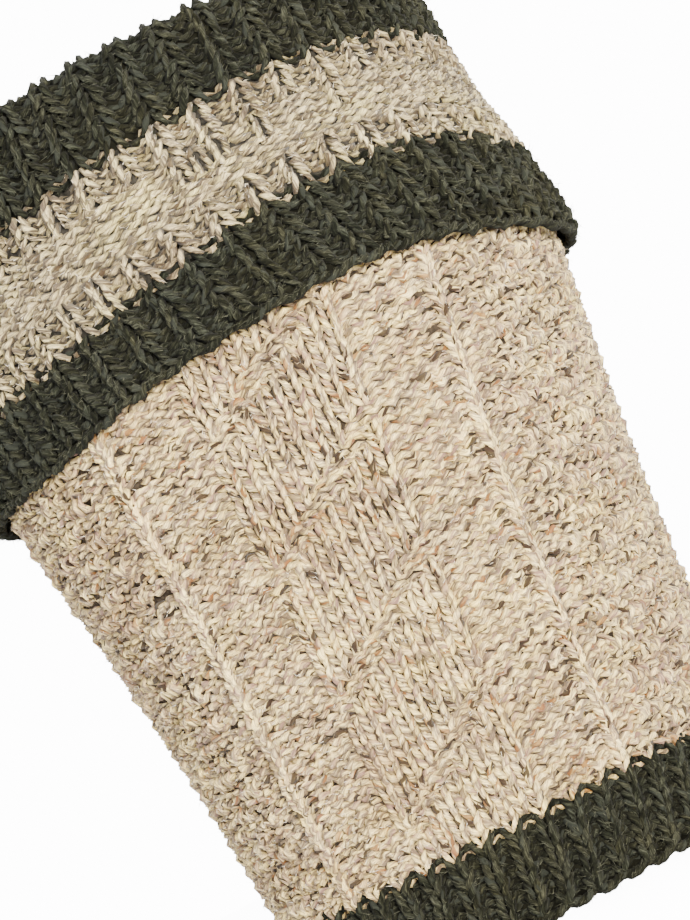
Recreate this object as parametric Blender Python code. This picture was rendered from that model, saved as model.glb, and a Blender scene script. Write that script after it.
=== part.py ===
"""Knitted calf warmer with a turned-down cuff, in the shape it takes round a calf.

One knitted tube in five bands: a dark green rib at the ankle, a beige patterned
body, a dark green rib that turns over at the knee end, and the turned-down cuff
with a beige stripe and a dark green rib edge. Metres, +Z towards the knee. The
origin is on the tube's axis at half its height, and the front faces -Y.
"""

import math
from collections import namedtuple

import bmesh
import bpy

# The whole tube
TUBE_HEIGHT = 0.1745
ANKLE_RADIUS = 0.0490
CALF_RADIUS = 0.0602
CALF_LEAN = 0.0025
KNIT_WALL = 0.0030
BAND_GAP = 0.0003

# The bands along the tube and down the cuff
ANKLE_RIB_HEIGHT = 0.0180
INNER_BAND_HEIGHT = 0.0140
FOLD_BAND_HEIGHT = 0.0180
CUFF_STRIPE_HEIGHT = 0.0245
CUFF_RIB_HEIGHT = 0.0175

# The cuff's lie over the body; its wales are turned and spread, in degrees and as a
# share, and those near its free edge lean sideways by up to CUFF_SKEW degrees
CUFF_EASE = 0.0005
CUFF_FLARE = 0.0005
CUFF_SAG = 0.0035
CUFF_TURN = 13.1
CUFF_SPREAD = 0.20
CUFF_SPREAD_AT = 50.0
CUFF_SKEW = 8.1

# The knitting: an even number of wales, one knit and one purl to a rib
RIBS = 50
WALES = 2 * RIBS
RIB_DEPTH = 0.0009
LIP_ROUND = 0.0010
SCALLOP = 0.0008
STRIPE_LEVEL_FROM = 0.20
STRIPE_LEVEL_TO = 0.75

# The raised and sunk columns of the body's two panels, in wales from a panel's middle.
# Diagonals cross the middle band: their pitch up the tube, where the lowest starts,
# and as shares of the pitch how far one climbs across the band and how deep it is
BAND_HALF = 4
CHAIN_WALE = 10
EDGE_WALE = 13
DIAGONAL_PITCH = 0.0253
DIAGONAL_START = 0.0047
DIAGONAL_RUN = 0.73
DIAGONAL_WIDTH = 0.30

# How far the body's columns lie below its highest ones
BAND_DEPTH = 0.0003
DIAGONAL_DEPTH = 0.0009
GROUND_DEPTH = 0.0007
EDGE_DEPTH = 0.0005
BUMP_DEPTH = 0.0001
HOLLOW_DEPTH = 0.0007

# Rings of points along each face
BODY_OUTER_RINGS = 19
BODY_INNER_RINGS = 6
BAND_RINGS = 3
FOLD_STEPS = 4
SHARP_DEGREES = 50

# Outer radius of the tube: height as a share of TUBE_HEIGHT, and how far the
# radius has grown from ANKLE_RADIUS towards CALF_RADIUS
Station = namedtuple("Station", "height growth")
TUBE_PROFILE = (
    Station(height=0.00, growth=0.02),
    Station(height=0.10, growth=0.00),
    Station(height=0.28, growth=0.23),
    Station(height=0.46, growth=0.56),
    Station(height=0.62, growth=0.95),
    Station(height=0.68, growth=1.00),
    Station(height=0.76, growth=0.83),
    Station(height=0.83, growth=0.66),
    Station(height=0.90, growth=0.54),
    Station(height=1.00, growth=0.53),
)

# How the tube's wales lie round the leg: height as a share of TUBE_HEIGHT, degrees
# turned, and the share by which they spread at the front (below nought they gather)
Lie = namedtuple("Lie", "height turn spread")
TUBE_LIE = (
    Lie(height=0.00, turn=-10.8, spread=-0.13),
    Lie(height=0.10, turn=-8.1, spread=-0.05),
    Lie(height=0.38, turn=-5.3, spread=-0.05),
    Lie(height=0.64, turn=-2.3, spread=-0.05),
)

# How high the cuff's lines hang at each angle from the front, as shares of CUFF_SAG:
# split is the fold band's lower line, seam the stripe's, and edge the free edge.
# skew is the share of CUFF_SKEW by which the wales lean there
Hang = namedtuple("Hang", "angle split seam edge skew")
CUFF_HANG = (
    Hang(angle=-180, split=-0.3, seam=-0.6, edge=-0.4, skew=0.3),
    Hang(angle=-110, split=-0.5, seam=-1.2, edge=-0.8, skew=0.6),
    Hang(angle=-45, split=-0.6, seam=-1.3, edge=-1.0, skew=1.0),
    Hang(angle=-22, split=-0.4, seam=-0.8, edge=-0.2, skew=1.0),
    Hang(angle=10, split=0.1, seam=0.5, edge=0.5, skew=1.0),
    Hang(angle=28, split=0.3, seam=0.9, edge=0.6, skew=0.4),
    Hang(angle=48, split=0.3, seam=0.8, edge=0.0, skew=0.0),
    Hang(angle=72, split=0.0, seam=-0.1, edge=-0.8, skew=0.0),
    Hang(angle=125, split=-0.2, seam=-0.6, edge=-0.7, skew=0.0),
    Hang(angle=180, split=-0.3, seam=-0.6, edge=-0.4, skew=0.3),
)

# Heights of the bands' lines
BOTTOM = -TUBE_HEIGHT / 2
TOP = TUBE_HEIGHT / 2
ANKLE_LINE = BOTTOM + ANKLE_RIB_HEIGHT
INNER_LINE = TOP - INNER_BAND_HEIGHT
SPLIT_LINE = TOP - FOLD_BAND_HEIGHT
SEAM_LINE = SPLIT_LINE - CUFF_STRIPE_HEIGHT
CUFF_EDGE = SEAM_LINE - CUFF_RIB_HEIGHT

BEIGE = (0.54, 0.46, 0.36, 1.0)
GREEN = (0.040, 0.048, 0.036, 1.0)


def clear_scene():
    for thing in list(bpy.data.objects):
        bpy.data.objects.remove(thing, do_unlink=True)


def between(low, high, share):
    return low + (high - low) * share


def read_table(places, values, place):
    """Smooth value at a place, with the table's own slopes at its rows."""
    last = len(places) - 1
    place = min(max(place, places[0]), places[last])
    row = 0
    while row < last - 1 and place > places[row + 1]:
        row += 1

    def slope(index):
        before = max(index - 1, 0)
        after = min(index + 1, last)
        return (values[after] - values[before]) / (places[after] - places[before])

    step = places[row + 1] - places[row]
    t = (place - places[row]) / step
    start = (1 + 2 * t) * (1 - t) ** 2 * values[row]
    end = t * t * (3 - 2 * t) * values[row + 1]
    bend = t * (1 - t) ** 2 * slope(row) - t * t * (1 - t) * slope(row + 1)
    return start + end + bend * step


def growth(height):
    share = (height - BOTTOM) / TUBE_HEIGHT
    return read_table([s.height for s in TUBE_PROFILE], [s.growth for s in TUBE_PROFILE], share)


def tube_radius(height):
    """Outer radius of the cloth that lies on the leg."""
    return between(ANKLE_RADIUS, CALF_RADIUS, growth(height))


def cuff_drop(height):
    """Share of the way from the fold band's lower line to the cuff's free edge."""
    return min(max((SPLIT_LINE - height) / (SPLIT_LINE - CUFF_EDGE), 0.0), 1.0)


def cuff_radius(height):
    """Outer radius of the turned-down cloth, which flares towards its free edge."""
    return tube_radius(height) + CUFF_EASE + KNIT_WALL + CUFF_FLARE * cuff_drop(height) ** 2


def hang_value(degrees, column):
    degrees = (degrees + 180) % 360 - 180
    angles = [row.angle for row in CUFF_HANG]
    return read_table(angles, [getattr(row, column) for row in CUFF_HANG], degrees)


def cuff_angle(wale, height):
    """Degrees from the front towards +X, on the cuff and over the fold."""
    plain = 360 * wale / WALES
    spread = math.degrees(CUFF_SPREAD) * math.sin(math.radians(plain - CUFF_SPREAD_AT))
    upright = plain + CUFF_TURN + spread
    return upright + CUFF_SKEW * hang_value(upright, "skew") * cuff_drop(height) ** 2


def tube_angle(wale, height):
    """Degrees from the front towards +X, on the tube; under the cuff it nears the cuff's."""
    plain = 360 * wale / WALES
    share = (height - BOTTOM) / TUBE_HEIGHT
    heights = [row.height for row in TUBE_LIE]
    turn = read_table(heights, [row.turn for row in TUBE_LIE], share)
    spread = read_table(heights, [row.spread for row in TUBE_LIE], share)
    shown = plain + turn + math.degrees(spread) * math.sin(math.radians(plain))
    top_share = (INNER_LINE - BOTTOM) / TUBE_HEIGHT
    hidden = min(max((share - heights[-1]) / (top_share - heights[-1]), 0.0), 1.0)
    return between(shown, cuff_angle(wale, TOP), hidden)


def hang(wale, column, line):
    """How far a line of the cuff, at its own height, is moved where a wale crosses it."""
    return CUFF_SAG * hang_value(cuff_angle(wale, line), column)


def is_cuff_rib(wale):
    return wale % 2 == 1


def is_ankle_rib(wale):
    return wale % 2 == 0


def panel_offset(wale):
    """Wales from the middle of the nearer panel: one is at the front, one at the back."""
    return (wale + RIBS // 2) % RIBS - RIBS // 2


def body_depth(wale, height, ring):
    """How far the body's face lies below its highest wales."""
    offset = panel_offset(wale)
    side = abs(offset)
    if side == CHAIN_WALE:
        return 0.0
    if side <= BAND_HALF:
        climb = (height - ANKLE_LINE - DIAGONAL_START) / DIAGONAL_PITCH
        crossing = (climb - DIAGONAL_RUN * (offset + BAND_HALF) / (2 * BAND_HALF)) % 1.0
        return DIAGONAL_DEPTH if crossing < DIAGONAL_WIDTH else BAND_DEPTH
    if side < CHAIN_WALE:
        return GROUND_DEPTH
    if side < EDGE_WALE:
        return EDGE_DEPTH
    raised = (side // 2 + ring) % 2 == 1
    return BUMP_DEPTH if raised else HOLLOW_DEPTH


def rib_depth(raised):
    return 0.0 if raised else RIB_DEPTH


def body_section(wale):
    low = ANKLE_LINE + BAND_GAP
    high = INNER_LINE - BAND_GAP
    section = []
    for ring in range(BODY_OUTER_RINGS):
        height = between(low, high, ring / (BODY_OUTER_RINGS - 1))
        section.append((tube_radius(height) - body_depth(wale, height, ring), height))
    for ring in range(BODY_INNER_RINGS):
        height = between(high, low, ring / (BODY_INNER_RINGS - 1))
        section.append((tube_radius(height) - KNIT_WALL, height))
    return section


def ankle_rib_section(wale):
    """The edge is drawn in a little under each rib, and hangs lowest between two ribs."""
    raised = is_ankle_rib(wale)
    depth = rib_depth(raised)
    lip = BOTTOM + (SCALLOP if raised else 0.0)
    section = []
    for ring in range(BAND_RINGS):
        height = between(lip + LIP_ROUND, ANKLE_LINE, ring / (BAND_RINGS - 1))
        section.append((tube_radius(height) - depth, height))
    section.append((tube_radius(ANKLE_LINE) - KNIT_WALL, ANKLE_LINE))
    section.append((tube_radius(lip) - KNIT_WALL, lip + LIP_ROUND))
    section.append((tube_radius(lip) - (KNIT_WALL + depth) / 2, lip))
    return section


def fold_rib_section(wale):
    """A U over the top: cuff side up, over the fold, and down on the leg side."""
    depth = rib_depth(is_cuff_rib(wale))
    split = SPLIT_LINE + hang(wale, "split", SPLIT_LINE)
    fold_radius = KNIT_WALL + CUFF_EASE / 2
    fold_start = TOP - fold_radius
    middle = tube_radius(fold_start) + CUFF_EASE / 2
    section = []
    for ring in range(BAND_RINGS):
        height = between(split, fold_start, ring / (BAND_RINGS - 1))
        section.append((cuff_radius(height) - depth, height))
    for step in range(1, FOLD_STEPS):
        turn = math.pi * step / FOLD_STEPS
        reach = fold_radius - depth
        section.append((middle + reach * math.cos(turn), fold_start + reach * math.sin(turn)))
    leg_side = tube_radius(fold_start) - KNIT_WALL + depth
    section.append((leg_side, fold_start))
    section.append((tube_radius(INNER_LINE) - KNIT_WALL + depth, INNER_LINE))
    section.append((tube_radius(INNER_LINE), INNER_LINE))
    section.append((tube_radius(fold_start), fold_start))
    section.append((middle, fold_start + CUFF_EASE / 2))
    section.append((cuff_radius(fold_start) - KNIT_WALL, fold_start))
    section.append((cuff_radius(split) - KNIT_WALL, split))
    return section


def cuff_stripe_section(wale):
    """The stripe keeps the ribs beside the green bands and is level between them."""
    high = SPLIT_LINE + hang(wale, "split", SPLIT_LINE) - BAND_GAP
    low = SEAM_LINE + hang(wale, "seam", SEAM_LINE)
    depth = rib_depth(is_cuff_rib(wale))
    level = RIB_DEPTH / 2
    section = []
    for share, sunk in ((0, depth), (STRIPE_LEVEL_FROM, level), (STRIPE_LEVEL_TO, level), (1, depth)):
        height = between(low, high, share)
        section.append((cuff_radius(height) - sunk, height))
    for height in (high, (high + low) / 2, low):
        section.append((cuff_radius(height) - KNIT_WALL, height))
    return section


def cuff_rib_section(wale):
    raised = is_cuff_rib(wale)
    depth = rib_depth(raised)
    high = SEAM_LINE + hang(wale, "seam", SEAM_LINE) - BAND_GAP
    lip = CUFF_EDGE + hang(wale, "edge", CUFF_EDGE) + (0.0 if raised else SCALLOP)
    section = []
    for ring in range(BAND_RINGS):
        height = between(lip + LIP_ROUND, high, ring / (BAND_RINGS - 1))
        section.append((cuff_radius(height) - depth, height))
    section.append((cuff_radius(high) - KNIT_WALL, high))
    section.append((cuff_radius(lip) - KNIT_WALL, lip + LIP_ROUND))
    section.append((cuff_radius(lip) - (KNIT_WALL + depth) / 2, lip))
    return section


def knit_material(name, colour):
    material = bpy.data.materials.new(name)
    material.use_nodes = True
    shader = material.node_tree.nodes["Principled BSDF"]
    shader.inputs["Base Color"].default_value = colour
    shader.inputs["Roughness"].default_value = 0.95
    shader.inputs["Metallic"].default_value = 0.0
    return material


def lean(height):
    """The calf's fullness lies towards the back, so the shin side stays straighter."""
    return CALF_LEAN * growth(height)


def knit_band(name, section_of, angle_of, material):
    """Carry a section right round the leg, one section to each wale, into a closed body."""
    mesh = bpy.data.meshes.new(name)
    work = bmesh.new()
    loops = []
    for wale in range(WALES):
        loop = []
        for radius, height in section_of(wale):
            angle = math.radians(angle_of(wale, height))
            x = radius * math.sin(angle)
            y = lean(height) - radius * math.cos(angle)
            loop.append(work.verts.new((x, y, height)))
        loops.append(loop)
    for wale, loop in enumerate(loops):
        beside = loops[(wale + 1) % WALES]
        for point in range(len(loop)):
            above = (point + 1) % len(loop)
            work.faces.new((loop[point], beside[point], beside[above], loop[above]))
    bmesh.ops.triangulate(work, faces=work.faces[:])
    work.to_mesh(mesh)
    work.free()
    mesh.shade_smooth()
    mesh.set_sharp_from_angle(angle=math.radians(SHARP_DEGREES))
    band = bpy.data.objects.new(name, mesh)
    band.data.materials.append(material)
    bpy.context.collection.objects.link(band)
    return band


def build():
    clear_scene()
    beige = knit_material("beige_knit", BEIGE)
    green = knit_material("green_knit", GREEN)
    knit_band("ankle_rib", ankle_rib_section, tube_angle, green)
    knit_band("body_tube", body_section, tube_angle, beige)
    knit_band("fold_rib", fold_rib_section, cuff_angle, green)
    knit_band("cuff_stripe", cuff_stripe_section, cuff_angle, beige)
    knit_band("cuff_rib", cuff_rib_section, cuff_angle, green)


build()
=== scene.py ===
"""Looks of the knitted calf warmer: every stitch is a loop of yarn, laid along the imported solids."""

import math
from collections import namedtuple

import bpy
import numpy as np
from mathutils import Matrix, Vector


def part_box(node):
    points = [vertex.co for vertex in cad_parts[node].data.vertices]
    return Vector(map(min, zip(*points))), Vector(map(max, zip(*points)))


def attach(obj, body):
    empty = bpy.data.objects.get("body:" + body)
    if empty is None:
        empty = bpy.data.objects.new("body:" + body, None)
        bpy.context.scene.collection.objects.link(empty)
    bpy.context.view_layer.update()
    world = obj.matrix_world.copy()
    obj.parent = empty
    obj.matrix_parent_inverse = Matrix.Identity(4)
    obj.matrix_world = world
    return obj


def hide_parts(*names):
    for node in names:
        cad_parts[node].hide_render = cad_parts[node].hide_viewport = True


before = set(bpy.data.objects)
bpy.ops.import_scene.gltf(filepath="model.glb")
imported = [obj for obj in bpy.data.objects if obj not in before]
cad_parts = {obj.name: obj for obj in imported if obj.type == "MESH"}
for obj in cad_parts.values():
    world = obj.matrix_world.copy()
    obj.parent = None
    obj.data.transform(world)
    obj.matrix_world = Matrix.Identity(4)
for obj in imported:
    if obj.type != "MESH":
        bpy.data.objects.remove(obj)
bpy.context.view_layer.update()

MM = 0.001

# Sizes of the cloth, as in the solids
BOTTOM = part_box("ankle_rib")[0].z
ANKLE_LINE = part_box("ankle_rib")[1].z
INNER_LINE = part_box("body_tube")[1].z
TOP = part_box("fold_rib")[1].z
TUBE_HEIGHT = TOP - BOTTOM
ANKLE_RADIUS = 49.0 * MM
CALF_RADIUS = 60.2 * MM
CALF_LEAN = 2.5 * MM
KNIT_WALL = 3.0 * MM
FOLD_BAND_HEIGHT = 18.0 * MM
CUFF_STRIPE_HEIGHT = 24.5 * MM
CUFF_RIB_HEIGHT = 17.5 * MM
CUFF_EASE = 0.5 * MM
CUFF_FLARE = 0.5 * MM
CUFF_SAG = 3.5 * MM
SCALLOP = 0.8 * MM

# The free edges: how far inside them the stitches end, and the rows in which their scallops fade
EDGE_MARGIN = 1.6 * MM
SCALLOP_ROWS = 2

# How far the cuff's wales lie round the leg, in degrees, and how unevenly, in radians
CUFF_TURN = 13.1
CUFF_SPREAD = 0.20
CUFF_SPREAD_AT = 50.0
CUFF_SKEW = 8.1

SPLIT_LINE = TOP - FOLD_BAND_HEIGHT
SEAM_LINE = SPLIT_LINE - CUFF_STRIPE_HEIGHT
CUFF_EDGE = SEAM_LINE - CUFF_RIB_HEIGHT
TURN_RADIUS = (KNIT_WALL + CUFF_EASE) / 2
TURN_START = TOP - KNIT_WALL - CUFF_EASE / 2

# The tube's radius, from the ankle's (0) to the calf's (1), at shares of the tube's height
Station = namedtuple("Station", "height growth")
TUBE_PROFILE = (
    Station(height=0.00, growth=0.02),
    Station(height=0.10, growth=0.00),
    Station(height=0.28, growth=0.23),
    Station(height=0.46, growth=0.56),
    Station(height=0.62, growth=0.95),
    Station(height=0.68, growth=1.00),
    Station(height=0.76, growth=0.83),
    Station(height=0.83, growth=0.66),
    Station(height=0.90, growth=0.54),
    Station(height=1.00, growth=0.53),
)

# How far the tube's wales lie round the leg, in degrees, and how unevenly, in radians
Lie = namedtuple("Lie", "height turn spread")
TUBE_LIE = (
    Lie(height=0.00, turn=-10.8, spread=-0.13),
    Lie(height=0.10, turn=-8.1, spread=-0.05),
    Lie(height=0.38, turn=-5.3, spread=-0.05),
    Lie(height=0.64, turn=-2.3, spread=-0.05),
)

# How the cuff's lines rise and fall round it, as shares of CUFF_SAG, and its skew, of CUFF_SKEW
Hang = namedtuple("Hang", "angle split seam edge skew")
CUFF_HANG = (
    Hang(angle=-180, split=-0.3, seam=-0.6, edge=-0.4, skew=0.3),
    Hang(angle=-110, split=-0.5, seam=-1.2, edge=-0.8, skew=0.6),
    Hang(angle=-45, split=-0.6, seam=-1.3, edge=-1.0, skew=1.0),
    Hang(angle=-22, split=-0.4, seam=-0.8, edge=-0.2, skew=1.0),
    Hang(angle=10, split=0.1, seam=0.5, edge=0.5, skew=1.0),
    Hang(angle=28, split=0.3, seam=0.9, edge=0.6, skew=0.4),
    Hang(angle=48, split=0.3, seam=0.8, edge=0.0, skew=0.0),
    Hang(angle=72, split=0.0, seam=-0.1, edge=-0.8, skew=0.0),
    Hang(angle=125, split=-0.2, seam=-0.6, edge=-0.7, skew=0.0),
    Hang(angle=180, split=-0.3, seam=-0.6, edge=-0.4, skew=0.3),
)

# The knitting, counted from the ankle edge up the tube, over the fold and down the cuff
WALES = 100
ANKLE_ROWS = 8
BODY_ROWS = 86
INNER_ROWS = 5
TURN_ROWS = 3
FOLD_ROWS = 7
STRIPE_ROWS = 15
STRIPE_RIB_ROWS = 4
STRIPE_RIB_SHARE = 0.30
STRIPE_LEVEL_SHARE = 0.71
CUFF_ROWS = 8
BODY_START = ANKLE_ROWS
INNER_START = BODY_START + BODY_ROWS
TURN_ROW = INNER_START + INNER_ROWS
FOLD_START = TURN_ROW + TURN_ROWS
STRIPE_START = FOLD_START + FOLD_ROWS
CUFF_START = STRIPE_START + STRIPE_ROWS
ROWS = CUFF_START + CUFF_ROWS

# Short runs of purl, which the turned cuff shows as knit, in the stripe's first level rows
LADDER_ROWS = 4
LADDER_WALES = (WALES - 1, 0, 1, 7)
LADDER_FIRST = 3
LADDER_REPEAT = 14

# The body's panels: columns counted in wales from a panel's middle
BAND_HALF = 4
BEAD_WALE = 9
CHAIN_WALE = 10
FLOAT_WALES = (11, 12)
MOSS_WALE = 13
DIAGONAL_PITCH = 25.3 * MM
DIAGONAL_START = 4.7 * MM
DIAGONAL_RUN = 0.73
DIAGONAL_WIDTH = 0.17
DIAGONAL_RELIEF = -0.3 * MM

# Band, purl, beads, chain, floats and moss. Width, thickness and rise are shares of the plain
# stitch's, relief is in millimetres, and the odd values are for a wale's odd rows.
Column = namedtuple("Column", "last_wale width relief odd_relief thick odd_thick rise odd_rise")
COLUMNS = (
    Column(BAND_HALF, 1.04, 0.0, 0.0, 1.05, 1.05, 1.0, 1.0),
    Column(BEAD_WALE - 1, 0.98, -0.2, -0.2, 1.05, 1.05, 1.0, 1.0),
    Column(BEAD_WALE, 1.12, 0.4, -0.5, 1.45, 1.0, 1.35, 1.0),
    Column(CHAIN_WALE, 0.86, 0.4, 0.4, 1.06, 1.06, 1.0, 1.0),
    Column(MOSS_WALE - 1, 1.04, -0.25, -0.25, 1.05, 1.05, 1.0, 1.0),
    Column(WALES // 2, 1.04, -0.2, -0.2, 1.0, 1.0, 1.1, 1.1),
)

# The moss of the flanks: its repeat, and how far it moves and swells a stitch
MOSS_WALES = 5
MOSS_ROWS = 4
MOSS_KNIT_ABOVE = 0.1
MOSS_RELIEF = 0.85
MOSS_THICK = 0.12
MOSS_PULL_WALES = 0.28
MOSS_PULL_ROWS = 0.3

# The ribs: widths of their even and odd wales and thickness, as shares of the plain stitch's, how far
# the wales stand out and in, and how much of that is left in the stripe's level rows
ANKLE_WIDTHS = (1.22, 0.78)
CUFF_WIDTHS = (0.74, 1.26)
ANKLE_THICK = 1.08
CUFF_THICK = 1.12
RIB_SHIFT = 0.45 * MM
LEVEL_RIB_SHARE = 0.25

# The yarn: points to a stitch, and the plain loop's size, with swing and rise in wales and rows
POINTS = 8
HIDDEN_POINTS = 5
YARN_RADIUS = 0.65 * MM
LOOP_DEPTH = 0.88 * MM
LOOP_SWING = 0.32
LOOP_RISE = 0.90
FLOAT_REACH = 1.15

# The two strands along a free edge: how far past the last row and how much they sway, in rows, how
# far they wind round each other, and their thickness as a share of the plain yarn's
EDGE_ROWS = 0.3
EDGE_SWAY = 0.16
EDGE_TWIST = 0.55 * MM
EDGE_THICK = 1.1

# Where on the wool a row's yarn starts, at most, and where the edge's two strands do, in metres
YARN_SPREAD = 9.0
EDGE_STARTS = (1.0, 4.0)

# How rough each kind of cloth is, and its stitches' unevenness in wales, rows, shares and metres
ROUGH_RIB = 1.5
ROUGH_MOSS = 1.7
ROUGH_BODY = 1.1
UNEVEN_WALES = 0.055
UNEVEN_ROWS = 0.085
UNEVEN_SWING = 0.16
UNEVEN_LIFT = 0.09 * MM
UNEVEN_GIRTH = 0.10
UNEVEN_SLUB = 0.09

# What brings the sum of three random numbers back to about the spread of one
SMOOTHED = 1.8

# How straight a float is pulled, drawn from these for each one
TIGHT_FLOATS = (0.0, 0.0, 0.0, 0.0, 0.35)

# The thin wall behind the yarn: half its thickness, its share of the stitches' relief, and its mesh
WALL_HALF = 0.12 * MM
WALL_RELIEF = 0.5
ROWS_PER_STEP = 3

# The fine fibres: where they start on the yarn, in radians round it, radii and millimetres along it,
# how they head off it, how long they are beside the longest, and their radius in millimetres
HAIR_LEAN = 1.2
HAIR_ROOT = 0.85
HAIR_SLIDE = 0.5
HAIR_ALONG = (0.4, 1.2)
HAIR_OUT = (0.05, 0.5)
HAIR_STRAY = 0.25
HAIR_LENGTHS = (0.3, 1.0)
HAIR_GIRTH = (0.04, 0.065)

STITCH_SEED = 7
HAIR_SEED = 11


def read_table(places, values, place):
    """Smooth value at each place, with the table's own slopes at its rows."""
    places = np.array(places, float)
    values = np.array(values, float)
    last = len(places) - 1
    place = np.clip(place, places[0], places[last])
    row = np.clip(np.searchsorted(places, place, side="left") - 1, 0, last - 1)
    before = np.maximum(np.arange(last + 1) - 1, 0)
    after = np.minimum(np.arange(last + 1) + 1, last)
    slopes = (values[after] - values[before]) / (places[after] - places[before])
    step = places[row + 1] - places[row]
    t = (place - places[row]) / step
    start = (1 + 2 * t) * (1 - t) ** 2 * values[row]
    end = t * t * (3 - 2 * t) * values[row + 1]
    bend = t * (1 - t) ** 2 * slopes[row] - t * t * (1 - t) * slopes[row + 1]
    return start + end + bend * step


def growth(height):
    share = (height - BOTTOM) / TUBE_HEIGHT
    return read_table([s.height for s in TUBE_PROFILE], [s.growth for s in TUBE_PROFILE], share)


def tube_radius(height):
    return ANKLE_RADIUS + (CALF_RADIUS - ANKLE_RADIUS) * growth(height)


def cuff_drop(height):
    return np.clip((SPLIT_LINE - height) / (SPLIT_LINE - CUFF_EDGE), 0.0, 1.0)


def cuff_radius(height):
    return tube_radius(height) + CUFF_EASE + KNIT_WALL + CUFF_FLARE * cuff_drop(height) ** 2


def hang_value(degrees, column):
    degrees = (degrees + 180) % 360 - 180
    angles = [row.angle for row in CUFF_HANG]
    return read_table(angles, [getattr(row, column) for row in CUFF_HANG], degrees)


def cuff_angle(wale, height):
    """Degrees from the front towards +X, on the cuff and over the fold."""
    plain = 360 * wale / WALES
    spread = math.degrees(CUFF_SPREAD) * np.sin(np.radians(plain - CUFF_SPREAD_AT))
    upright = plain + CUFF_TURN + spread
    return upright + CUFF_SKEW * hang_value(upright, "skew") * cuff_drop(height) ** 2


def tube_angle(wale, height):
    """Degrees from the front towards +X, on the tube; under the cuff it nears the cuff's."""
    plain = 360 * wale / WALES
    share = (height - BOTTOM) / TUBE_HEIGHT
    heights = [row.height for row in TUBE_LIE]
    turn = read_table(heights, [row.turn for row in TUBE_LIE], share)
    spread = read_table(heights, [row.spread for row in TUBE_LIE], share)
    shown = plain + turn + np.degrees(spread) * np.sin(np.radians(plain))
    top_share = (INNER_LINE - BOTTOM) / TUBE_HEIGHT
    hidden = np.clip((share - heights[-1]) / (top_share - heights[-1]), 0.0, 1.0)
    return shown + (cuff_angle(wale, TOP) - shown) * hidden


def cuff_line(wale, column, line):
    return line + CUFF_SAG * hang_value(cuff_angle(wale, line), column)


def stripe_share(row):
    """The stripe's ribbed rows are taller than its level ones."""
    level_end = STRIPE_ROWS - STRIPE_RIB_ROWS
    shares = [0, STRIPE_RIB_SHARE, STRIPE_LEVEL_SHARE, 1]
    return np.interp(row, [0, STRIPE_RIB_ROWS, level_end, STRIPE_ROWS], shares)


def middle_line(row, wale):
    """Radius and height of the cloth's middle at a row, from the ankle edge to the cuff's free edge."""
    split = cuff_line(wale, "split", SPLIT_LINE)
    seam = cuff_line(wale, "seam", SEAM_LINE)
    lobe = SCALLOP * (1 + np.cos(math.pi * wale)) / 2
    edge = cuff_line(wale, "edge", CUFF_EDGE) + EDGE_MARGIN
    ankle = BOTTOM + EDGE_MARGIN + (ANKLE_LINE - BOTTOM - EDGE_MARGIN) * row / ANKLE_ROWS
    ankle = ankle + lobe * np.clip(1 - row / SCALLOP_ROWS, 0, 1)
    body = ANKLE_LINE + (INNER_LINE - ANKLE_LINE) * (row - BODY_START) / BODY_ROWS
    inner = INNER_LINE + (TURN_START - INNER_LINE) * (row - INNER_START) / INNER_ROWS
    fold = TURN_START + (split - TURN_START) * (row - FOLD_START) / FOLD_ROWS
    stripe = split + (seam - split) * stripe_share(row - STRIPE_START)
    cuff = seam + (edge - seam) * (row - CUFF_START) / CUFF_ROWS
    cuff = cuff + lobe * np.clip(1 - (ROWS - row) / SCALLOP_ROWS, 0, 1)
    up = np.select([row < BODY_START, row < INNER_START], [ankle, body], inner)
    down = np.select([row < STRIPE_START, row < CUFF_START], [fold, stripe], cuff)
    turn = math.pi * (1 - np.clip((row - TURN_ROW) / TURN_ROWS, 0, 1))
    turning = (row >= TURN_ROW) & (row < FOLD_START)
    centre = tube_radius(np.array(TURN_START)) + CUFF_EASE / 2
    height = np.select([row < TURN_ROW, turning], [up, TURN_START + TURN_RADIUS * np.sin(turn)], down)
    radius = np.select(
        [row < TURN_ROW, turning],
        [tube_radius(height) - KNIT_WALL / 2, centre + TURN_RADIUS * np.cos(turn)],
        cuff_radius(height) - KNIT_WALL / 2,
    )
    return radius, height


def on_cloth(row, wale, out):
    """Points in the room, and unit vectors out of the body's right side, at rows, wales and offsets."""
    step = 0.04
    r0, z0 = middle_line(row - step, wale)
    r1, z1 = middle_line(row + step, wale)
    radius, height = middle_line(row, wale)
    along_r, along_z = r1 - r0, z1 - z0
    length = np.hypot(along_r, along_z)
    out_r, out_z = along_z / length, -along_r / length
    angle = np.radians(np.where(row < INNER_START, tube_angle(wale, height), cuff_angle(wale, height)))
    r = radius + out * out_r
    z = height + out * out_z
    points = np.stack([r * np.sin(angle), CALF_LEAN * growth(height) - r * np.cos(angle), z], -1)
    normals = np.stack([out_r * np.sin(angle), -out_r * np.cos(angle), out_z], -1)
    return points, normals


def panel_offset(wale):
    """Wales from the middle of the nearest of the two panels, front and back."""
    return (wale + WALES // 4) % (WALES // 2) - WALES // 4


def wale_sides():
    """How many wales each wale lies from its panel's middle."""
    return np.abs(panel_offset(np.arange(WALES)))


def body_rows():
    """The rows with the body's pattern, between its plain first and last rows."""
    return range(BODY_START + 1, INNER_START - 1)


def column_values(name, row):
    """A value of the panels' columns at every wale, in an even or an odd row of the body."""
    zone = np.searchsorted([column.last_wale for column in COLUMNS], wale_sides())
    field = name if row % 2 == 0 else "odd_" + name
    return np.array([getattr(column, field) for column in COLUMNS])[zone]


def crossing(row, offset):
    """Share of the diagonals' pitch at which a row of the body meets a wale of the band."""
    height = (INNER_LINE - ANKLE_LINE) * (row + 0.5 - BODY_START) / BODY_ROWS
    climb = (height - DIAGONAL_START) / DIAGONAL_PITCH
    return (climb - DIAGONAL_RUN * (offset + BAND_HALF) / (2 * BAND_HALF)) % 1.0


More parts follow.
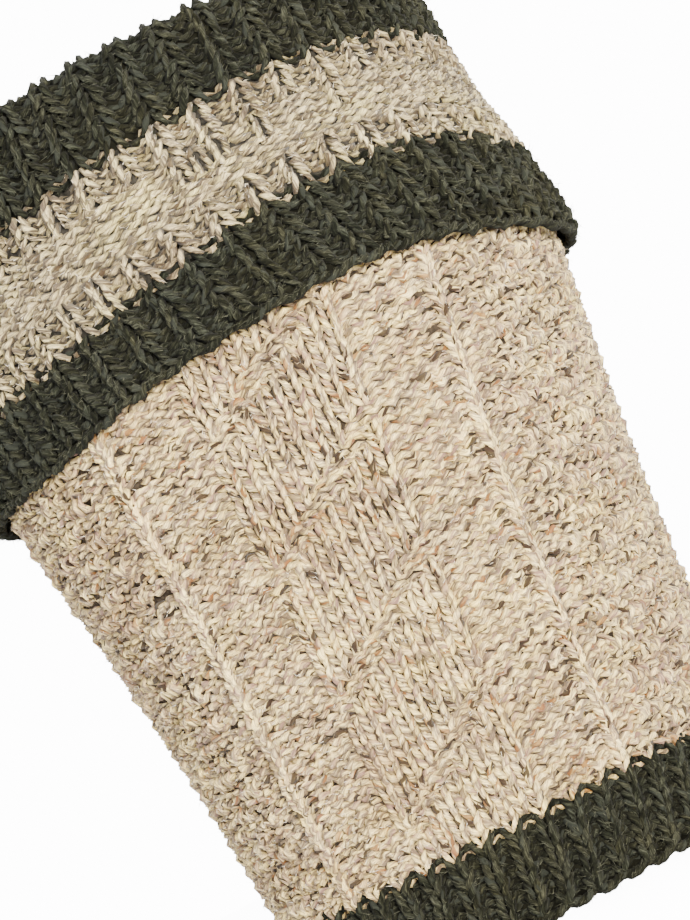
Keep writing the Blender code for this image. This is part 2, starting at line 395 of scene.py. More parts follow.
def moss_turns(row, side):
    """The place in the moss's repeat as two angles, round the tube and along it."""
    return 2 * math.pi * (side - MOSS_WALE) / MOSS_WALES, 2 * math.pi * row / MOSS_ROWS


def moss(row, side):
    """Swells and hollows of the panels' flanks: +1 on a knot."""
    around, along = moss_turns(row, side)
    return np.cos(around) * np.cos(along)


def stitch_chart():
    """+1 where a stitch is knit and -1 where it is purl, seen from the body's right side."""
    wales = np.arange(WALES)
    chart = np.zeros((ROWS + 1, WALES)) + np.where(wales % 2 == 0, 1, -1)
    offset = panel_offset(wales)
    side = wale_sides()
    for row in body_rows():
        line = np.ones(WALES)
        line[(side > BAND_HALF) & (side != CHAIN_WALE)] = -1
        line[(side <= BAND_HALF) & (crossing(row, offset) < DIAGONAL_WIDTH)] = -1
        flank = np.where(moss(row, side) > MOSS_KNIT_ABOVE, 1, -1)
        chart[row] = np.where(side >= MOSS_WALE, flank, line)
    level_start = STRIPE_START + STRIPE_RIB_ROWS
    for row in range(level_start, CUFF_START - STRIPE_RIB_ROWS):
        line = np.ones(WALES)
        if row < level_start + LADDER_ROWS:
            line[list(LADDER_WALES)] = -1
            line[wales % LADDER_REPEAT == LADDER_FIRST] = -1
        chart[row] = line
    return chart


def relief(rows):
    """How far each stitch is moved out of the body's right side, in metres."""
    wales = np.arange(WALES)
    side = wale_sides()
    rib = np.where(wales % 2 == 0, RIB_SHIFT, -RIB_SHIFT)
    shift = np.zeros((rows, WALES)) + rib
    for row in body_rows():
        swell = np.where(side >= MOSS_WALE, MOSS_RELIEF * moss(row, side), 0)
        shift[row] = MM * (column_values("relief", row) + swell)
        faint = (side <= BAND_HALF) & (crossing(row, panel_offset(wales)) < DIAGONAL_WIDTH)
        shift[row][faint] = DIAGONAL_RELIEF
    level = slice(STRIPE_START + STRIPE_RIB_ROWS, CUFF_START - STRIPE_RIB_ROWS)
    shift[level] = LEVEL_RIB_SHARE * rib
    return shift


def wale_widths(rows):
    """Each stitch's width as a share of the mean stitch's."""
    even = np.arange(WALES) % 2 == 0
    width = np.ones((rows, WALES))
    width[:BODY_START + 1] = np.where(even, *ANKLE_WIDTHS)
    width[BODY_START + 1:INNER_START] = column_values("width", 0)
    width[INNER_START:] = np.where(even, *CUFF_WIDTHS)
    width[STRIPE_START + STRIPE_RIB_ROWS:CUFF_START - STRIPE_RIB_ROWS] = 1.0
    return width


def stitch_sizes(rows):
    """Shares of the plain yarn's thickness and of the plain loop's rise."""
    side = wale_sides()
    thick = np.ones((rows, WALES))
    rise = np.ones((rows, WALES))
    thick[:BODY_START] = ANKLE_THICK
    thick[INNER_START:STRIPE_START] = CUFF_THICK
    thick[CUFF_START:] = CUFF_THICK
    for row in body_rows():
        swell = np.where(side >= MOSS_WALE, MOSS_THICK * moss(row, side), 0)
        thick[row] = column_values("thick", row) + swell
        rise[row] = column_values("rise", row)
    return thick, rise


def front_floats(rows):
    """1 where the yarn may run straighter across in front than a loop does."""
    floats = np.zeros((rows, WALES))
    for row in range(BODY_START + 2, INNER_START - 1, 2):
        floats[row] = np.isin(wale_sides(), FLOAT_WALES)
    return floats


def smooth_noise(rng, shape):
    """Random numbers in which neighbours along a row are alike."""
    field = rng.standard_normal(shape)
    return (field + np.roll(field, 1, 1) + np.roll(field, -1, 1)) / SMOOTHED


class Knitting:
    """The whole piece of knitting: its chart, and the small unevenness of its stitches."""

    def __init__(self):
        rng = np.random.default_rng(STITCH_SEED)
        rows = ROWS + 2
        self.chart = stitch_chart()
        self.shift = relief(rows)
        self.width = wale_widths(rows)
        self.thick, self.rise = stitch_sizes(rows)
        self.floats = front_floats(rows)
        side = wale_sides()
        rough = np.full((rows, WALES), ROUGH_RIB)
        rough[BODY_START:INNER_START] = np.where(side >= MOSS_WALE, ROUGH_MOSS, ROUGH_BODY)
        self.slip_u = UNEVEN_WALES * rough * smooth_noise(rng, (rows, WALES))
        self.slip_v = UNEVEN_ROWS * rough * smooth_noise(rng, (rows, WALES))
        self.swing = 1 + UNEVEN_SWING * rough * rng.standard_normal((rows, WALES))
        self.lift = UNEVEN_LIFT * rough * rng.standard_normal((rows, WALES))
        self.girth = rng.standard_normal((rows, WALES))
        self.spin = rng.random(rows)
        self.tight = rng.choice(TIGHT_FLOATS, (rows, WALES))
        self.slub = rng.standard_normal((rows, WALES, POINTS))
        row = np.arange(rows)[:, None]
        flank = (row >= BODY_START) & (row < INNER_START) & (side >= MOSS_WALE)
        around, along = moss_turns(row, side)
        self.slip_v += np.where(flank, MOSS_PULL_ROWS * np.cos(around) * np.sin(along), 0)
        sideways = np.sign(panel_offset(np.arange(WALES)))
        pull = np.sin(around) * np.cos(along)
        self.slip_u += np.where(flank, MOSS_PULL_WALES * sideways * pull, 0)

    def course_path(self, row, points):
        """The yarn of one row: row and wale coordinates, offset and thickness at each point.

        In each stitch t runs from the link before it (0) over its head (pi) to the link after it.
        """
        t = np.arange(points) * (2 * math.pi / points)
        wales = np.arange(WALES)[:, None]
        here = self.chart[row][:, None]
        above = self.chart[min(row + 1, ROWS)][:, None]
        before = np.roll(here, 1, 0)
        upper = (t > math.pi / 2) & (t < 3 * math.pi / 2)
        leg = np.maximum(-np.cos(2 * t), 0)
        tie = np.maximum(np.cos(2 * t), 0)
        depth = here * leg - np.where(upper, above, here) * tie
        depth[:, 0] = -(here[:, 0] + before[:, 0]) / 2
        width = self.width[row][:, None]
        swing = LOOP_SWING * self.swing[row][:, None]
        u = wales + width * (swing * np.sin(2 * t) + t / (2 * math.pi) - 0.5)
        u[:, 0] = wales[:, 0] + (-self.width[row] + np.roll(self.width[row], 1)) / 4 - 0.5
        rise = LOOP_RISE * self.rise[row][:, None]
        v = row + 0.5 - rise * np.cos(t) + np.zeros_like(u)
        head_share = (1 - np.cos(t)) / 2
        out = LOOP_DEPTH * depth
        for field, values in ((u, self.slip_u), (v, self.slip_v), (out, self.lift), (out, self.shift)):
            low, high = values[row][:, None], values[row + 1][:, None]
            move = low + (high - low) * head_share
            move[:, 0] = (move[:, 0] + np.roll(move[:, 0], 1)) / 2
            field += move
        straight = np.repeat((self.floats[row] * self.tight[row])[:, None], points, 1)
        straight[:, 0] = (straight[:, 0] + np.roll(straight[:, 0], 1)) / 2
        share = t / (2 * math.pi)
        u += straight * (wales + share - 0.5 - u)
        v += straight * (row + 0.5 + self.slip_v[row][:, None] * 2 - v)
        out += straight * (FLOAT_REACH * LOOP_DEPTH - out)
        size = (1 + UNEVEN_GIRTH * self.girth[row]) * self.thick[row]
        thick = size[:, None] * (1 - share) + np.roll(size, -1)[:, None] * share
        thick = thick * (1 + UNEVEN_SLUB * self.slub[row][:, :points])
        back = WALES // 2
        return [np.roll(field, back, 0).ravel() for field in (v, u, out, YARN_RADIUS * thick)]


def edge_path(row, phase):
    """One of the two strands that wind round each other along a free edge."""
    u = np.arange(WALES * POINTS) / POINTS + WALES / 2
    turn = 2 * math.pi * u + phase
    v = row + EDGE_SWAY * np.sin(turn)
    out = EDGE_TWIST * np.cos(turn)
    return v, u, out, np.full_like(u, EDGE_THICK * YARN_RADIUS)


def add_to_scene(name, data):
    """A new object made of a mesh, a lamp or a camera."""
    thing = bpy.data.objects.new(name, data)
    bpy.context.scene.collection.objects.link(thing)
    return thing


Course = namedtuple("Course", "points normals thick out start")


def across_strand(ahead, normals):
    """Two directions across a closed strand at each point, carried along it without a twist."""
    count = len(ahead)
    up = np.empty_like(ahead)
    carried = normals[0]
    for i in range(count + 1):
        way = ahead[i % count]
        carried = carried - carried.dot(way) * way
        carried = carried / math.sqrt(carried.dot(carried))
        if i < count:
            up[i] = carried
    missed = math.atan2(np.cross(ahead[0], up[0]).dot(carried), up[0].dot(carried))
    undo = -missed * np.arange(count)[:, None] / count
    up = up * np.cos(undo) + np.cross(ahead, up) * np.sin(undo)
    return up, np.cross(ahead, up)


def tube_mesh(name, courses, sides):
    """One mesh of closed loops of yarn."""
    verts, strands, deeps, quads = [], [], [], []
    base = 0
    for course in courses:
        points, normals, thick = course.points, course.normals, course.thick
        count = len(points)
        ahead = np.roll(points, -1, 0) - np.roll(points, 1, 0)
        ahead /= np.linalg.norm(ahead, axis=1)[:, None]
        up, side = across_strand(ahead, normals)
        step = np.linalg.norm(points - np.roll(points, 1, 0), axis=1)
        step[0] = 0
        along = np.cumsum(step) + course.start
        ring = np.empty((count, sides, 3))
        strand = np.empty((count, sides, 3))
        deep = np.empty((count, sides))
        for k in range(sides):
            turn = 2 * math.pi * k / sides
            spoke = up * math.cos(turn) + side * math.sin(turn)
            ring[:, k] = points + thick[:, None] * spoke
            strand[:, k, 0] = along
            strand[:, k, 1] = math.cos(turn)
            strand[:, k, 2] = math.sin(turn)
            # deep is 1 in the cloth's middle and 0 at its faces; the yarn's material paints shade with
            # it
            reach = course.out + thick * (spoke * normals).sum(1)
            deep[:, k] = 1 - np.abs(reach) / (KNIT_WALL / 2)
        verts.append(ring.reshape(-1, 3))
        strands.append(strand.reshape(-1, 3))
        deeps.append(deep.ravel())
        i = np.arange(count)[:, None]
        k = np.arange(sides)[None, :]
        j = (i + 1) % count
        m = (k + 1) % sides
        quad = np.stack([i * sides + k, i * sides + m, j * sides + m, j * sides + k], -1)
        quads.append(quad.reshape(-1, 4) + base)
        base += count * sides
    verts, quads = np.concatenate(verts), np.concatenate(quads)
    mesh = bpy.data.meshes.new(name)
    mesh.vertices.add(len(verts))
    mesh.vertices.foreach_set("co", verts.astype(np.float32).ravel())
    mesh.loops.add(quads.size)
    mesh.loops.foreach_set("vertex_index", quads.astype(np.int32).ravel())
    mesh.polygons.add(len(quads))
    mesh.polygons.foreach_set("loop_start", np.arange(0, quads.size, 4, dtype=np.int32))
    mesh.update(calc_edges=True)
    mesh.shade_smooth()
    strand = mesh.attributes.new("strand", "FLOAT_VECTOR", "POINT")
    strand.data.foreach_set("vector", np.concatenate(strands).astype(np.float32).ravel())
    deep = mesh.attributes.new("deep", "FLOAT", "POINT")
    deep.data.foreach_set("value", np.concatenate(deeps).astype(np.float32))
    return add_to_scene(name, mesh)


def make_courses(knitting, first, last, points):
    """The rows of yarn from the first up to the last, with both strands of a free edge."""
    courses = []
    for row in range(first, last):
        v, wale, out, thick = knitting.course_path(row, points)
        place, normal = on_cloth(v, wale, out)
        courses.append(Course(place, normal, thick, out, YARN_SPREAD * knitting.spin[row]))
    edges = {0: -EDGE_ROWS, ROWS: ROWS + EDGE_ROWS}
    for edge in (first, last):
        for strand in range(2 if edge in edges else 0):
            v, wale, out, thick = edge_path(edges[edge], math.pi * strand)
            place, normal = on_cloth(v, wale, out)
            courses.append(Course(place, normal, thick, out, EDGE_STARTS[strand]))
    return courses


def fuzz_mesh(name, courses, count, longest, rng):
    """Fine fibres that stand off the yarn's outer side: tapered, three-sided and closed."""
    outside = -1 if name.startswith(("fold", "cuff")) else 1
    place = np.concatenate([course.points for course in courses])
    normal = np.concatenate([course.normals for course in courses]) * outside
    thick = np.concatenate([course.thick for course in courses])
    reach = np.concatenate([course.out for course in courses]) * outside
    ahead = np.concatenate([np.roll(course.points, -1, 0) - course.points for course in courses])
    pick = rng.choice(np.flatnonzero(reach > 0), count)
    ahead = ahead[pick] / np.linalg.norm(ahead[pick], axis=1)[:, None]
    normal = normal[pick]
    side = np.cross(ahead, normal)
    lean = rng.uniform(-HAIR_LEAN, HAIR_LEAN, count)[:, None]
    way = normal * np.cos(lean) + side * np.sin(lean)
    start = place[pick] + way * thick[pick][:, None] * HAIR_ROOT
    start += ahead * rng.uniform(-HAIR_SLIDE, HAIR_SLIDE, count)[:, None] * MM
    drift = ahead * rng.choice([-1, 1], count)[:, None] * rng.uniform(*HAIR_ALONG, count)[:, None]
    heading = way * rng.uniform(*HAIR_OUT, count)[:, None] + drift
    heading += HAIR_STRAY * rng.standard_normal((count, 3))
    heading /= np.linalg.norm(heading, axis=1)[:, None]
    length = longest * rng.uniform(*HAIR_LENGTHS, count)[:, None]
    tip = start + heading * length
    across = np.cross(heading, normal)
    across /= np.linalg.norm(across, axis=1)[:, None]
    over = np.cross(across, heading)
    girth = rng.uniform(*HAIR_GIRTH, count)[:, None] * MM
    corners = []
    for k in range(3):
        turn = 2 * math.pi * k / 3
        corners.append(start + girth * (across * math.cos(turn) + over * math.sin(turn)))
    verts = np.stack(corners + [tip], 1)
    spike = np.array([(2, 1, 0), (0, 1, 3), (1, 2, 3), (2, 0, 3)])
    faces = spike[None] + len(spike) * np.arange(count)[:, None, None]
    mesh = bpy.data.meshes.new(name)
    mesh.from_pydata(verts.reshape(-1, 3).tolist(), [], faces.reshape(-1, 3).tolist())
    mesh.update()
    return add_to_scene(name, mesh)


def srgb(red, green, blue):
    def linear(value):
        value /= 255
        return value / 12.92 if value <= 0.04045 else ((value + 0.055) / 1.055) ** 2.4
    return (linear(red), linear(green), linear(blue), 1.0)


def add_node(tree, kind, **settings):
    node = tree.nodes.new(kind)
    for name, value in settings.items():
        setattr(node, name, value)
    return node


def scaled(tree, vector, scale, shift=(0.0, 0.5, 0.5)):
    """The vector times a scale, plus a shift that keeps a noise off its flat lattice lines."""
    node = add_node(tree, "ShaderNodeVectorMath", operation="MULTIPLY_ADD")
    tree.links.new(vector, node.inputs[0])
    node.inputs[1].default_value = scale
    node.inputs[2].default_value = shift
    return node.outputs["Vector"]


def noise(tree, vector, detail, roughness=0.5):
    """A noise from 0 to 1, with one swell to a unit of the vector."""
    node = add_node(tree, "ShaderNodeTexNoise", noise_dimensions="3D")
    tree.links.new(vector, node.inputs["Vector"])
    node.inputs["Scale"].default_value = 1.0
    node.inputs["Detail"].default_value = detail
    node.inputs["Roughness"].default_value = roughness
    return node.outputs["Fac"]


def ramp(tree, fac, stops):
    """A colour for each value, blended between the stops."""
    node = add_node(tree, "ShaderNodeValToRGB")
    tree.links.new(fac, node.inputs["Fac"])
    node.color_ramp.elements.remove(node.color_ramp.elements[1])
    for index, (place, colour) in enumerate(stops):
        element = node.color_ramp.elements[0] if index == 0 else node.color_ramp.elements.new(place)
        element.position = place
        element.color = colour
    return node.outputs["Color"]


def grey(value):
    return (value, value, value, 1.0)


def mixed(tree, kind, fac, first, second):
    """Two colours mixed; a colour or a factor is a plain value or a socket."""
    node = add_node(tree, "ShaderNodeMix", data_type="RGBA", blend_type=kind)
    sockets = {"A": first, "B": second}
    colours = [s for s in node.inputs if s.type == "RGBA"]
    for socket in colours:
        value = sockets[socket.name]
        if isinstance(value, tuple):
            socket.default_value = value
        else:
            tree.links.new(value, socket)
    if isinstance(fac, float):
        node.inputs["Factor"].default_value = fac
    else:
        tree.links.new(fac, node.inputs["Factor"])
    return [s for s in node.outputs if s.type == "RGBA"][0]


def number(tree, operation, first, second):
    """The result of one operation on two values, each a plain number or a socket."""
    node = add_node(tree, "ShaderNodeMath", operation=operation)
    for socket, value in zip(node.inputs, (first, second)):
        if isinstance(value, float):
            socket.default_value = value
        else:
            tree.links.new(value, socket)
    return node.outputs[0]


# Swells of the yarn's noises to a metre along it, and to its radius across it
PLY_SWELLS = (150.0, 1.2, 1.2)
FIBRE_SWELLS = (420.0, 3.0, 3.0)
TONE_SWELLS = (26.0, 0.1, 0.1)
FLECK_ACROSS = 0.35

# The cloth's patches of tone, the soft edge of a fleck, and what the plies add to tone and height
PATCH_SIZE = 17 * MM
FLECK_EDGE = 0.018
PLY_SHARE = 0.16
PLY_HEIGHT = 0.6
FIBRE_HEIGHT = 0.25 * MM

# A wool: the plies' colours, tints along the yarn (cool to warm) and over the cloth (dull to bright),
# the painted shade that darkens the yarn deep in the cloth, the fibres' tones, and the twist in radians
# to a metre
YARN_FIELDS = "dark middle light cool warm dull bright shade fibres twist sheen gloss flecks"
Wool = namedtuple("Wool", YARN_FIELDS)

# A fleck: its colour, the noise at which it starts, how far it covers, its length and its own place
Fleck = namedtuple("Fleck", "colour start strength size shift")


def new_material(name):
    """A material, its nodes and its shader."""
    material = bpy.data.materials.new(name)
    material.use_nodes = True
    return material, material.node_tree, material.node_tree.nodes["Principled BSDF"]


def tinted(tree, colour, fac, stops):
    """The colour multiplied by a ramp's."""
    return mixed(tree, "MULTIPLY", 1.0, colour, ramp(tree, fac, stops))


def wool_yarn(name, wool):
    """Spun wool: twisted plies, fine fibres along them, slow changes of tone, painted shade where the
    yarn lies deep in the cloth, and flecks.
    """
    material, tree, shader = new_material(name)
    strand = add_node(tree, "ShaderNodeAttribute", attribute_name="strand").outputs["Vector"]
    deep = add_node(tree, "ShaderNodeAttribute", attribute_name="deep").outputs["Fac"]
    split = add_node(tree, "ShaderNodeSeparateXYZ")
    tree.links.new(strand, split.inputs[0])
    spun = add_node(tree, "ShaderNodeVectorRotate", rotation_type="X_AXIS")
    tree.links.new(strand, spun.inputs["Vector"])
    tree.links.new(number(tree, "MULTIPLY", split.outputs["X"], wool.twist), spun.inputs["Angle"])
    spun = spun.outputs["Vector"]
    turned = add_node(tree, "ShaderNodeSeparateXYZ")
    tree.links.new(spun, turned.inputs[0])
    drift = noise(tree, scaled(tree, spun, PLY_SWELLS), 1.0)
    ply = number(tree, "ADD", number(tree, "MULTIPLY", turned.outputs["Y"], PLY_SHARE), drift)
    fibre = noise(tree, scaled(tree, spun, FIBRE_SWELLS), 2.0, 0.65)
    tone = noise(tree, scaled(tree, spun, TONE_SWELLS), 2.0)
    colour = ramp(tree, ply, ((0.36, wool.dark), (0.48, wool.middle), (0.60, wool.light)))
    colour = tinted(tree, colour, tone, ((0.35, wool.cool), (0.5, grey(1.0)), (0.65, wool.warm)))
    low, even, high = (grey(value) for value in wool.fibres)
    colour = tinted(tree, colour, fibre, ((0.37, low), (0.5, even), (0.66, high)))
    place = add_node(tree, "ShaderNodeTexCoord").outputs["Object"]
    patch = noise(tree, scaled(tree, place, (1 / PATCH_SIZE,) * 3), 1.0)
    colour = tinted(tree, colour, patch, ((0.34, wool.dull), (0.5, grey(1.0)), (0.66, wool.bright)))
    # Painted shade: the yarn darkens where it lies deep in the cloth, between the stitches, where
    # shadow falls
    colour = tinted(tree, colour, deep, ((0.08, grey(1.0)), (0.75, wool.shade)))
    for fleck in wool.flecks:
        stretch = (1 / fleck.size, FLECK_ACROSS, FLECK_ACROSS)
        nep = noise(tree, scaled(tree, spun, stretch, (fleck.shift, 0.5, 0.5)), 1.0)
        edge = fleck.start + FLECK_EDGE
        spot = ramp(tree, nep, ((fleck.start, grey(0.0)), (edge, grey(fleck.strength))))
        colour = mixed(tree, "MIX", spot, colour, fleck.colour)
    tree.links.new(colour, shader.inputs["Base Color"])
    shader.inputs["Roughness"].default_value = 0.92
    shader.inputs["Sheen Weight"].default_value = wool.sheen
    shader.inputs["Sheen Roughness"].default_value = 0.5
    shader.inputs["Specular IOR Level"].default_value = wool.gloss
    plies = number(tree, "ABSOLUTE", turned.outputs["Y"], 0.0)
    height = number(tree, "ADD", number(tree, "MULTIPLY", plies, PLY_HEIGHT), fibre)
    bump = add_node(tree, "ShaderNodeBump")
    bump.inputs["Strength"].default_value = 1.0
    bump.inputs["Distance"].default_value = FIBRE_HEIGHT
    tree.links.new(height, bump.inputs["Height"])
    tree.links.new(bump.outputs["Normal"], shader.inputs["Normal"])
    return material


def mottled(name, first, second, size):
    """A matt material whose colour drifts between two tones over the given length."""
    material, tree, shader = new_material(name)
    place = add_node(tree, "ShaderNodeTexCoord").outputs["Object"]
    drift = noise(tree, scaled(tree, place, (1 / size,) * 3), 2.0)
    colour = ramp(tree, drift, ((0.35, first), (0.65, second)))
    tree.links.new(colour, shader.inputs["Base Color"])
    shader.inputs["Roughness"].default_value = 0.95
    shader.inputs["Specular IOR Level"].default_value = 0.02
    return material


def core_wall(name, first, last, material):
    """A thin closed wall in the middle of the cloth, behind the yarn, which fills the gaps between the
    stitches as the wool's fibres do; its dark colour is painted shade in those gaps.
    """
    steps = max(int((last - first) / ROWS_PER_STEP), 2)
    rows = np.linspace(first, last, steps)
    v, wale = np.meshgrid(rows, np.arange(WALES), indexing="ij")
    shift = WALL_RELIEF * relief(ROWS + 2)[v.astype(int), wale]
    front, _ = on_cloth(v, wale, shift + WALL_HALF)
    back, _ = on_cloth(v, wale, shift - WALL_HALF)
    verts = np.concatenate([front.reshape(-1, 3), back.reshape(-1, 3)])
    count = steps * WALES
    faces = []
    for i in range(steps):
        for k in range(WALES):
            m = (k + 1) % WALES
            if i < steps - 1:
                a, b = i * WALES + k, i * WALES + m
                faces.append((a, b, b + WALES, a + WALES))
                faces.append((a + count, a + WALES + count, b + WALES + count, b + count))
    for k in range(WALES):
        m = (k + 1) % WALES
        faces.append((k, k + count, m + count, m))
        top = (steps - 1) * WALES
        faces.append((top + k, top + m, top + m + count, top + k + count))
    mesh = bpy.data.meshes.new(name)
    mesh.from_pydata(verts.tolist(), [], faces)
    mesh.update()
    mesh.shade_smooth()
    wall = add_to_scene(name, mesh)
    wall.data.materials.append(material)
    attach(wall, "root")
    return wall


# The camera's turns are in degrees and its focal length is in heights of the picture
CAMERA_YAW = 0.32
CAMERA_PITCH = 6.38
CAMERA_ROLL = 27.56
CAMERA_BACK = 576.9 * MM
CAMERA_ABOVE = 11.67 * MM
FOCAL_HEIGHTS = 3000.0 / 920.0
SENSOR_HEIGHT = 24.0


def make_camera():
    """The photograph's view, with the leg leaning over to the upper left."""
    data = bpy.data.cameras.new("camera")
    data.sensor_fit = "VERTICAL"
    data.sensor_height = SENSOR_HEIGHT
    data.lens = SENSOR_HEIGHT * FOCAL_HEIGHTS
    data.clip_start = 0.01
    camera = add_to_scene("camera", data)
    yaw, pitch, roll = math.radians(CAMERA_YAW), math.radians(CAMERA_PITCH), math.radians(CAMERA_ROLL)
    ahead = Vector((math.sin(yaw) * math.cos(pitch), math.cos(yaw) * math.cos(pitch), math.sin(pitch)))
    right = Vector((math.cos(yaw), -math.sin(yaw), 0.0))
    up = right.cross(ahead)
    across = right * math.cos(roll) - up * math.sin(roll)
    upward = right * math.sin(roll) + up * math.cos(roll)
    turn = Matrix((across, upward, -ahead)).transposed()
    place = Vector((0.0, -CAMERA_BACK, ANKLE_LINE + CAMERA_ABOVE))
    camera.matrix_world = Matrix.Translation(place) @ turn.to_4x4()
    bpy.context.scene.camera = camera


Lamp = namedtuple("Lamp", "name place size power colour")
LAMPS = (
    Lamp("key", place=(0.33, -1.13, 0.05), size=0.45, power=57.0, colour=(1.0, 0.94, 0.83)),
    Lamp("fill", place=(-0.75, -0.8, -0.2), size=0.8, power=13.0, colour=(0.95, 0.94, 1.0)),
    Lamp("back", place=(-0.4, 1.1, 0.5), size=0.8, power=34.0, colour=(1.0, 0.97, 0.93)),
    Lamp("top", place=(0.05, 0.15, 1.4), size=0.6, power=22.0, colour=(1.0, 0.98, 0.95)),
)
ROOM_LIGHT = 1.1
ROOM_SEEN = 14.0
FLOOR_REACH = 6.0
FLOOR_GAP = 0.3 * MM
FLOOR_GLOW = 12.0


def area_light(lamp):
    """A round soft light that faces the middle of the part."""
    data = bpy.data.lights.new(lamp.name, "AREA")
    data.shape = "DISK"
    data.size = lamp.size
    data.energy = lamp.power
    data.color = lamp.colour
    light = add_to_scene(lamp.name, data)
    light.location = lamp.place
    light.rotation_euler = (-Vector(lamp.place)).to_track_quat("-Z", "Y").to_euler()


def make_room_light():
    """Soft light from all round, with plain white where the camera looks past the part."""
    world = bpy.data.worlds.new("studio")
    bpy.context.scene.world = world
    world.use_nodes = True
    tree = world.node_tree
    soft = tree.nodes["Background"]
    soft.inputs["Color"].default_value = (0.98, 0.98, 1.0, 1.0)
    soft.inputs["Strength"].default_value = ROOM_LIGHT
    seen = add_node(tree, "ShaderNodeBackground")
    seen.inputs["Color"].default_value = (1.0, 1.0, 1.0, 1.0)
    seen.inputs["Strength"].default_value = ROOM_SEEN
    ray = add_node(tree, "ShaderNodeLightPath")
    mix = add_node(tree, "ShaderNodeMixShader")
    tree.links.new(ray.outputs["Is Camera Ray"], mix.inputs["Fac"])
    tree.links.new(soft.outputs[0], mix.inputs[1])
    tree.links.new(seen.outputs[0], mix.inputs[2])
    tree.links.new(mix.outputs[0], tree.nodes["World Output"].inputs["Surface"])


def make_floor():
    """A pale floor that looks as white as the room."""
    mesh = bpy.data.meshes.new("floor")
    low = BOTTOM - FLOOR_GAP
    corners = [(x * FLOOR_REACH, y * FLOOR_REACH, low) for x, y in ((-1, -1), (1, -1), (1, 1), (-1, 1))]
    mesh.from_pydata(corners, [], [(0, 1, 2, 3)])
    floor = add_to_scene("floor", mesh)
    pale = mottled("floor", grey(0.88), grey(0.90), 0.5)
    tree = pale.node_tree
    glow = add_node(tree, "ShaderNodeEmission")
    ray = add_node(tree, "ShaderNodeLightPath")
    strength = number(tree, "MULTIPLY", ray.outputs["Is Camera Ray"], FLOOR_GLOW)
    tree.links.new(strength, glow.inputs["Strength"])
    both = add_node(tree, "ShaderNodeAddShader")
    tree.links.new(tree.nodes["Principled BSDF"].outputs[0], both.inputs[0])
    tree.links.new(glow.outputs[0], both.inputs[1])
    tree.links.new(both.outputs[0], tree.nodes["Material Output"].inputs["Surface"])
    floor.data.materials.append(pale)


BEIGE_WOOL = Wool(
    dark=srgb(134, 116, 94), middle=srgb(197, 178, 137), light=srgb(243, 220, 158),
    cool=(0.86, 0.79, 0.78, 1.0), warm=(1.02, 1.0, 0.78, 1.0),
    dull=(0.81, 0.77, 0.75, 1.0), bright=(1.02, 1.01, 0.96, 1.0), shade=(0.60, 0.57, 0.52, 1.0),
    fibres=(0.52, 0.97, 1.36), twist=1100.0, sheen=0.12, gloss=0.15,
    flecks=(
        Fleck(colour=srgb(140, 104, 96), start=0.63, strength=0.5, size=5.5 * MM, shift=0.0),
        Fleck(colour=srgb(116, 68, 14), start=0.67, strength=0.7, size=5.5 * MM, shift=31.3),
        Fleck(colour=srgb(40, 27, 18), start=0.66, strength=0.95, size=7 * MM, shift=67.7),
    ),
)
# The stripe's yarn is the body's beige yarn made darker and a little greyer: painted shade, as the
# cuff's stripe takes less light than the body
SHADED_STRIPE_WOOL = BEIGE_WOOL._replace(
    dark=srgb(93, 82, 66), middle=srgb(152, 138, 106), light=srgb(198, 183, 140),
    cool=(0.90, 0.88, 0.88, 1.0), warm=(0.98, 1.0, 0.82, 1.0), shade=(0.46, 0.44, 0.40, 1.0),
    flecks=(Fleck(colour=srgb(62, 48, 32), start=0.66, strength=0.8, size=6 * MM, shift=11.3),),
)
GREEN_WOOL = Wool(
    dark=srgb(18, 19, 13), middle=srgb(28, 29, 21), light=srgb(40, 41, 33),
    cool=(0.93, 0.97, 1.0, 1.0), warm=(1.06, 1.02, 0.92, 1.0),
    dull=(0.92, 0.94, 0.96, 1.0), bright=(1.08, 1.07, 1.02, 1.0), shade=(0.5, 0.5, 0.48, 1.0),
    fibres=(0.52, 0.95, 2.5), twist=1000.0, sheen=0.02, gloss=0.06,
    flecks=(Fleck(colour=srgb(44, 47, 42), start=0.62, strength=0.6, size=5 * MM, shift=0.0),),
)


# The bands of yarn, from the ankle edge up, over the fold and down the cuff. The body's yarn is parted
# at three rows, and the cuff hides what lies above the last of them.
MIDDLE_ROW = BODY_START + 20
HIGH_ROW = BODY_START + 40
HIDDEN_ROW = BODY_START + 60
Hairs = namedtuple("Hairs", "count length")
LONG_HAIRS = Hairs(count=6500, length=2.4 * MM)
SHORT_HAIRS = Hairs(count=3000, length=1.4 * MM)
Band = namedtuple("Band", "name first last points sides wool node hairs")
BANDS = (
    Band("ankle_rib_yarn", 0, BODY_START, POINTS, 5, "green", "ankle_rib", LONG_HAIRS),
    Band("body_yarn_low", BODY_START, MIDDLE_ROW, POINTS, 4, "beige", "body_tube", SHORT_HAIRS),
    Band("body_yarn_middle", MIDDLE_ROW, HIGH_ROW, POINTS, 4, "beige", "body_tube", SHORT_HAIRS),
    Band("body_yarn_high", HIGH_ROW, HIDDEN_ROW, POINTS, 4, "beige", "body_tube", SHORT_HAIRS),
    Band("body_yarn_inner", HIDDEN_ROW, INNER_START, HIDDEN_POINTS, 3, "beige", "body_tube", None),
    Band("fold_rib_yarn", INNER_START, STRIPE_START, POINTS, 5, "green", "fold_rib", LONG_HAIRS),
    Band("cuff_stripe_yarn", STRIPE_START, CUFF_START, POINTS, 4, "stripe", "cuff_stripe", SHORT_HAIRS),
    Band("cuff_rib_yarn", CUFF_START, ROWS, POINTS, 5, "green", "cuff_rib", LONG_HAIRS),
)

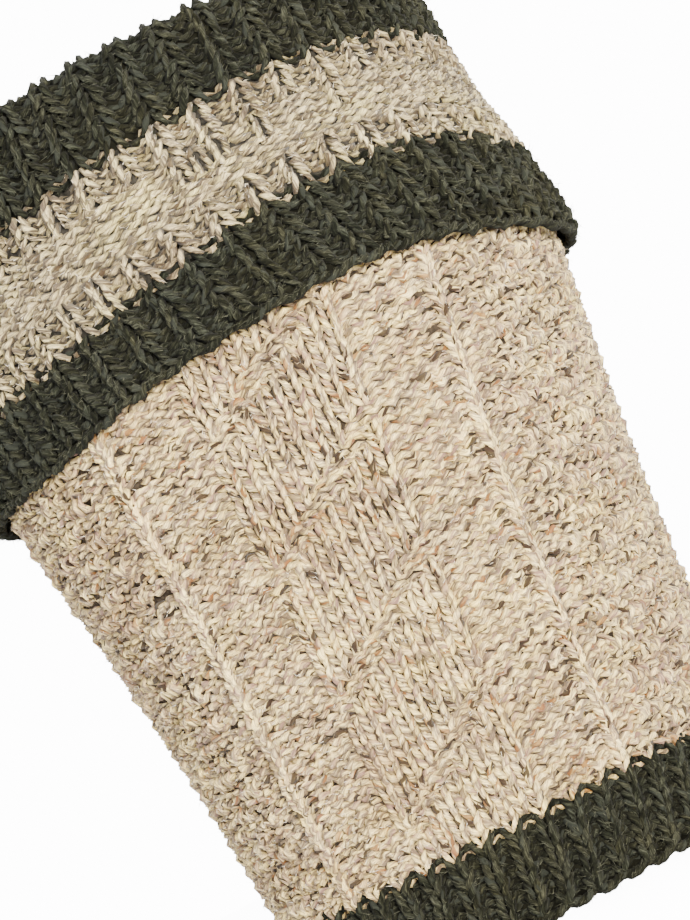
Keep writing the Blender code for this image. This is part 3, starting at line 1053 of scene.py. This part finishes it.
# The walls behind the yarn: flat is the sheet's girth and length when it is laid flat, in metres
Wall = namedtuple("Wall", "node first last wool flat")
WALLS = (
    Wall("ankle_rib", 0, BODY_START, "green", flat=(0.31, 0.018)),
    Wall("body_tube", BODY_START, INNER_START, "beige", flat=(0.345, 0.143)),
    Wall("fold_rib", INNER_START, STRIPE_START, "green", flat=(0.345, 0.034)),
    Wall("cuff_stripe", STRIPE_START, CUFF_START, "stripe", flat=(0.37, 0.026)),
    Wall("cuff_rib", CUFF_START, ROWS, "green", flat=(0.39, 0.018)),
)


def make_yarns():
    """The yarns' materials by the name of their wool; the stripe's is the beige yarn made darker, as
    painted shade.
    """
    return {
        "beige": wool_yarn("beige_yarn", BEIGE_WOOL),
        "stripe": wool_yarn("stripe_yarn", SHADED_STRIPE_WOOL),
        "green": wool_yarn("green_yarn", GREEN_WOOL),
    }


def make_hairs():
    """The materials of the fibres that stand off each wool."""
    beige = mottled("beige_fuzz", srgb(214, 200, 178), srgb(246, 238, 222), 2 * MM)
    green = mottled("green_fuzz", srgb(34, 35, 27), srgb(84, 85, 72), 1 * MM)
    return {"beige": beige, "stripe": beige, "green": green}


def make_wall_shades():
    """The walls' dark materials behind each wool: painted shade for the gaps between its stitches."""
    return {
        "beige": mottled("beige_wall", srgb(36, 31, 26), srgb(66, 57, 47), 0.8 * MM),
        "stripe": mottled("stripe_wall", srgb(30, 29, 26), srgb(54, 51, 46), 0.8 * MM),
        "green": mottled("dark_wall", srgb(14, 14, 11), srgb(24, 24, 18), 3 * MM),
    }


def lay_band(band, knitting, yarns, hairs, rng):
    """The yarn of one band, and the fine fibres on it where it has any."""
    courses = make_courses(knitting, band.first, band.last, band.points)
    yarn = tube_mesh(band.name, courses, band.sides)
    yarn.data.materials.append(yarns[band.wool])
    pieces = [yarn]
    if band.hairs:
        name = band.name.replace("yarn", "fuzz")
        fuzz = fuzz_mesh(name, courses, band.hairs.count, band.hairs.length, rng)
        fuzz.data.materials.append(hairs[band.wool])
        pieces.append(fuzz)
    for piece in pieces:
        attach(piece, "root")
    return pieces


def knit():
    """All the yarn, band by band, and then the walls that replace the solids."""
    knitting = Knitting()
    rng = np.random.default_rng(HAIR_SEED)
    yarns = make_yarns()
    hairs = make_hairs()
    tones = make_wall_shades()
    made = {}
    for band in BANDS:
        made.setdefault(band.node, []).extend(lay_band(band, knitting, yarns, hairs, rng))
    for row in WALLS:
        wall = core_wall(row.node + "_wall", row.first, row.last, tones[row.wool])
        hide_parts(row.node)


make_camera()
make_room_light()
for lamp in LAMPS:
    area_light(lamp)
make_floor()
knit()
